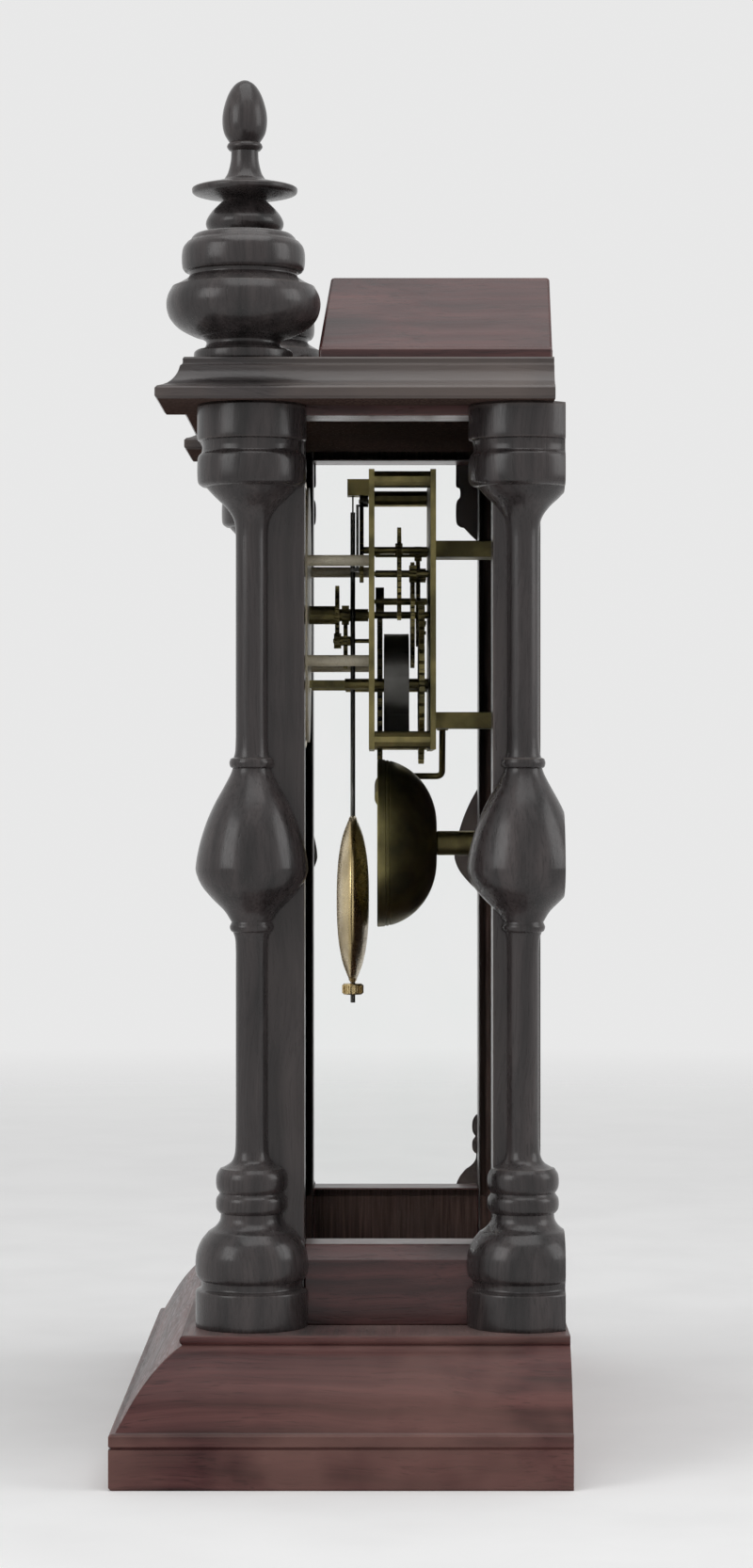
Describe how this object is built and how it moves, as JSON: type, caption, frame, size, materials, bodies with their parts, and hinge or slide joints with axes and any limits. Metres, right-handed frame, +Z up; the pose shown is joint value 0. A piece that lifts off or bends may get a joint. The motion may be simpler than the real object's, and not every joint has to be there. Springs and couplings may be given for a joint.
{
  "type": "shelf clock",
  "caption": "Glazed wooden shelf clock with turned corner columns, flared plinth, hipped roof and finials, holding a brass spring movement with pendulum and bell.",
  "frame": {"origin": "middle of the plinth's underside", "axes": "+Z up, the dial and door face -Y, +X to the right of someone who reads the dial"},
  "size_m": [0.298, 0.154, 0.494],
  "materials": {
    "red_wood": "polished red-brown hardwood",
    "dark_wood": "dark polished turned hardwood",
    "pane_glass": "clear window glass",
    "movement_brass": "aged brass",
    "polished_brass": "polished brass",
    "spring_steel": "oiled spring steel",
    "bell_metal": "dark unpolished bell metal",
    "blued_steel": "blued steel",
    "dial_paint": "cream painted dial"
  },
  "bodies": {
    "case": {"plinth": "red_wood", "front_post_left": "dark_wood", "front_post_right": "dark_wood", "rear_post_left": "dark_wood", "rear_post_right": "dark_wood", "lower_side_rail_left": "red_wood", "lower_side_rail_right": "red_wood", "upper_side_rail_left": "red_wood", "upper_side_rail_right": "red_wood", "side_glass_left": "pane_glass", "side_glass_right": "pane_glass", "back_board": "red_wood", "front_column_left": "dark_wood", "front_column_right": "dark_wood", "rear_column_left": "dark_wood", "rear_column_right": "dark_wood", "cornice": "dark_wood", "roof": "red_wood", "crest": "dark_wood", "corner_finial_left": "dark_wood", "corner_finial_right": "dark_wood", "centre_finial": "dark_wood", "hinge_case_leaf_lower": "polished_brass", "hinge_case_leaf_upper": "polished_brass", "dial": "dial_paint", "dial_bezel": "polished_brass", "front_plate": "movement_brass", "back_plate": "movement_brass", "movement_strap_upper": "movement_brass", "movement_strap_lower": "movement_brass", "time_mainspring": "spring_steel", "strike_mainspring": "spring_steel", "bell": "bell_metal", "bell_post": "movement_brass"},
    "door": {"door_latch_stile": "red_wood", "door_hinge_stile": "red_wood", "door_top_rail": "red_wood", "door_bottom_rail": "red_wood", "door_glass": "pane_glass", "hinge_door_leaf_lower": "polished_brass", "hinge_door_leaf_upper": "polished_brass"},
    "latch": {"door_latch": "polished_brass"},
    "minute_hand": {"minute_hand": "blued_steel", "cannon_pinion": "movement_brass"},
    "hour_hand": {"hour_hand": "blued_steel", "hour_wheel": "movement_brass"},
    "minute_wheel": {"minute_wheel": "movement_brass"},
    "third_wheel": {"third_wheel": "movement_brass"},
    "centre_wheel": {"centre_wheel": "movement_brass"},
    "time_great_wheel": {"time_great_wheel": "movement_brass"},
    "escape_wheel": {"escape_wheel": "movement_brass"},
    "strike_pin_wheel": {"strike_pin_wheel": "movement_brass"},
    "strike_great_wheel": {"strike_great_wheel": "movement_brass"},
    "strike_fly": {"strike_fly": "movement_brass"},
    "pendulum": {"pendulum_rod": "spring_steel", "pendulum_bob": "polished_brass"},
    "rating_nut": {"rating_nut": "polished_brass"},
    "verge": {"verge": "spring_steel"},
    "hammer": {"strike_hammer": "movement_brass"}
  },
  "joints": [
    {"name": "door_swing", "type": "hinge", "parent": "case", "child": "door", "pos_m": [0.081, -0.033, 0.2], "axis": [0, 0, 1], "range_deg": [0, 90]},
    {"name": "latch_turn", "type": "hinge", "parent": "door", "child": "latch", "pos_m": [-0.0744, -0.03, 0.165], "axis": [0, 1, 0], "range_deg": [-90, 0]},
    {"name": "minute_hand_turn", "type": "hinge", "parent": "case", "child": "minute_hand", "pos_m": [0, -0.01, 0.296], "axis": [0, 1, 0], "continuous": true},
    {"name": "hour_hand_turn", "type": "hinge", "parent": "case", "child": "hour_hand", "pos_m": [0, -0.01, 0.296], "axis": [0, 1, 0], "continuous": true},
    {"name": "minute_wheel_turn", "type": "hinge", "parent": "case", "child": "minute_wheel", "pos_m": [-0.00919, 0, 0.28681], "axis": [0, 1, 0], "continuous": true},
    {"name": "third_wheel_turn", "type": "hinge", "parent": "case", "child": "third_wheel", "pos_m": [0.01608, 0.02, 0.31042], "axis": [0, 1, 0], "continuous": true},
    {"name": "centre_wheel_turn", "type": "hinge", "parent": "case", "child": "centre_wheel", "pos_m": [0, 0.02, 0.296], "axis": [0, 1, 0], "continuous": true},
    {"name": "time_great_wheel_turn", "type": "hinge", "parent": "case", "child": "time_great_wheel", "pos_m": [0.02, 0.02, 0.27], "axis": [0, 1, 0], "continuous": true},
    {"name": "escape_wheel_turn", "type": "hinge", "parent": "case", "child": "escape_wheel", "pos_m": [0, 0.02, 0.32], "axis": [0, 1, 0], "continuous": true},
    {"name": "strike_pin_wheel_turn", "type": "hinge", "parent": "case", "child": "strike_pin_wheel", "pos_m": [-0.02598, 0.02, 0.30225], "axis": [0, 1, 0], "continuous": true},
    {"name": "strike_great_wheel_turn", "type": "hinge", "parent": "case", "child": "strike_great_wheel", "pos_m": [-0.02, 0.02, 0.27], "axis": [0, 1, 0], "continuous": true},
    {"name": "strike_fly_turn", "type": "hinge", "parent": "case", "child": "strike_fly", "pos_m": [-0.01957, 0.02, 0.31984], "axis": [0, 1, 0], "continuous": true},
    {"name": "pendulum_swing", "type": "hinge", "parent": "case", "child": "pendulum", "pos_m": [0, 0.003, 0.338], "axis": [0, 1, 0], "range_deg": [-3, 3]},
    {"name": "rating_nut_turn", "type": "hinge", "parent": "pendulum", "child": "rating_nut", "pos_m": [0, 0.003, 0.157], "axis": [0, 0, 1], "continuous": true},
    {"name": "verge_rock", "type": "hinge", "parent": "case", "child": "verge", "pos_m": [0, 0.003, 0.338], "axis": [0, 1, 0], "range_deg": [-3, 3]},
    {"name": "hammer_lift", "type": "hinge", "parent": "case", "child": "hammer", "pos_m": [-0.01884, 0.0365, 0.25608], "axis": [0, 1, 0], "range_deg": [0, 18]}
  ],
  "couplings": [
    {"joint": "hour_hand_turn", "follows": "minute_hand_turn", "ratio": 0.083333},
    {"joint": "minute_wheel_turn", "follows": "minute_hand_turn", "ratio": -0.33333},
    {"joint": "centre_wheel_turn", "follows": "third_wheel_turn", "ratio": -0.14286},
    {"joint": "time_great_wheel_turn", "follows": "third_wheel_turn", "ratio": 0.02381},
    {"joint": "escape_wheel_turn", "follows": "third_wheel_turn", "ratio": -7},
    {"joint": "strike_great_wheel_turn", "follows": "strike_pin_wheel_turn", "ratio": -0.16667},
    {"joint": "strike_fly_turn", "follows": "strike_pin_wheel_turn", "ratio": -7},
    {"joint": "verge_rock", "follows": "pendulum_swing", "ratio": 1}
  ]
}
